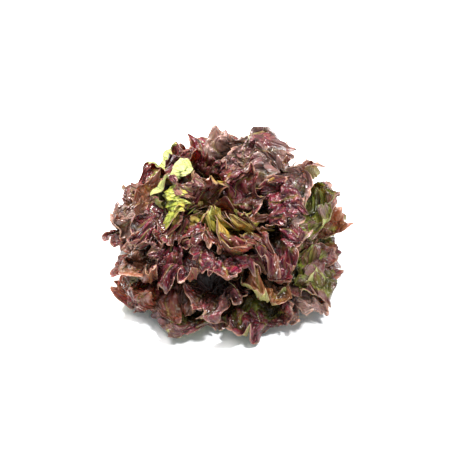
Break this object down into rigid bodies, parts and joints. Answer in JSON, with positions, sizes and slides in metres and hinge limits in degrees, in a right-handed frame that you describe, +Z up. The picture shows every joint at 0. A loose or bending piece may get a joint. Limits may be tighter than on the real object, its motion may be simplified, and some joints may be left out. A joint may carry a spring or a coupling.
{
  "type": "leaf lettuce head",
  "caption": "Loose, domed head of red oak leaf lettuce: lobed, wavy burgundy leaves with green midribs, nested in a spiral round a short cut stem.",
  "frame": {"origin": "centre of the stem's flat cut face, on the surface that the head rests on", "axes": "+Z up, along the stem's base; the heart of the head leans towards -Y, the side that the picture was taken from; +X to the picture's right"},
  "size_m": [0.261, 0.2771, 0.1324],
  "materials": {
    "stem": "moist, pale green, satin",
    "heart_leaf": "satin, young olive to bronze leaves with reddish tips",
    "middle_leaf": "satin to glossy, blistered, dark burgundy with green midribs",
    "outer_leaf": "satin, blistered, brownish red with green midribs and paler undersides"
  },
  "bodies": {
    "root": {"heart_leaf_01": "heart_leaf", "heart_leaf_02": "heart_leaf", "heart_leaf_03": "heart_leaf", "heart_leaf_04": "heart_leaf", "heart_leaf_05": "heart_leaf", "heart_leaf_06": "heart_leaf", "heart_leaf_07": "heart_leaf", "heart_leaf_08": "heart_leaf", "heart_leaf_09": "heart_leaf", "heart_leaf_10": "heart_leaf", "heart_leaf_11": "heart_leaf", "heart_leaf_12": "heart_leaf", "heart_leaf_13": "heart_leaf", "heart_leaf_14": "heart_leaf", "middle_leaf_15": "middle_leaf", "middle_leaf_16": "middle_leaf", "middle_leaf_17": "middle_leaf", "middle_leaf_18": "middle_leaf", "middle_leaf_19": "middle_leaf", "middle_leaf_20": "middle_leaf", "middle_leaf_21": "middle_leaf", "middle_leaf_22": "middle_leaf", "middle_leaf_23": "middle_leaf", "middle_leaf_24": "middle_leaf", "middle_leaf_25": "middle_leaf", "middle_leaf_26": "middle_leaf", "middle_leaf_27": "middle_leaf", "middle_leaf_28": "middle_leaf", "outer_leaf_29": "outer_leaf", "outer_leaf_30": "outer_leaf", "outer_leaf_31": "outer_leaf", "outer_leaf_32": "outer_leaf", "outer_leaf_33": "outer_leaf", "outer_leaf_34": "outer_leaf", "outer_leaf_35": "outer_leaf", "outer_leaf_36": "outer_leaf", "outer_leaf_37": "outer_leaf", "outer_leaf_38": "outer_leaf", "outer_leaf_39": "outer_leaf", "outer_leaf_40": "outer_leaf", "outer_leaf_41": "outer_leaf", "outer_leaf_42": "outer_leaf", "outer_leaf_43": "outer_leaf", "outer_leaf_44": "outer_leaf", "outer_leaf_45": "outer_leaf", "stem": "stem"}
  },
  "joints": []
}
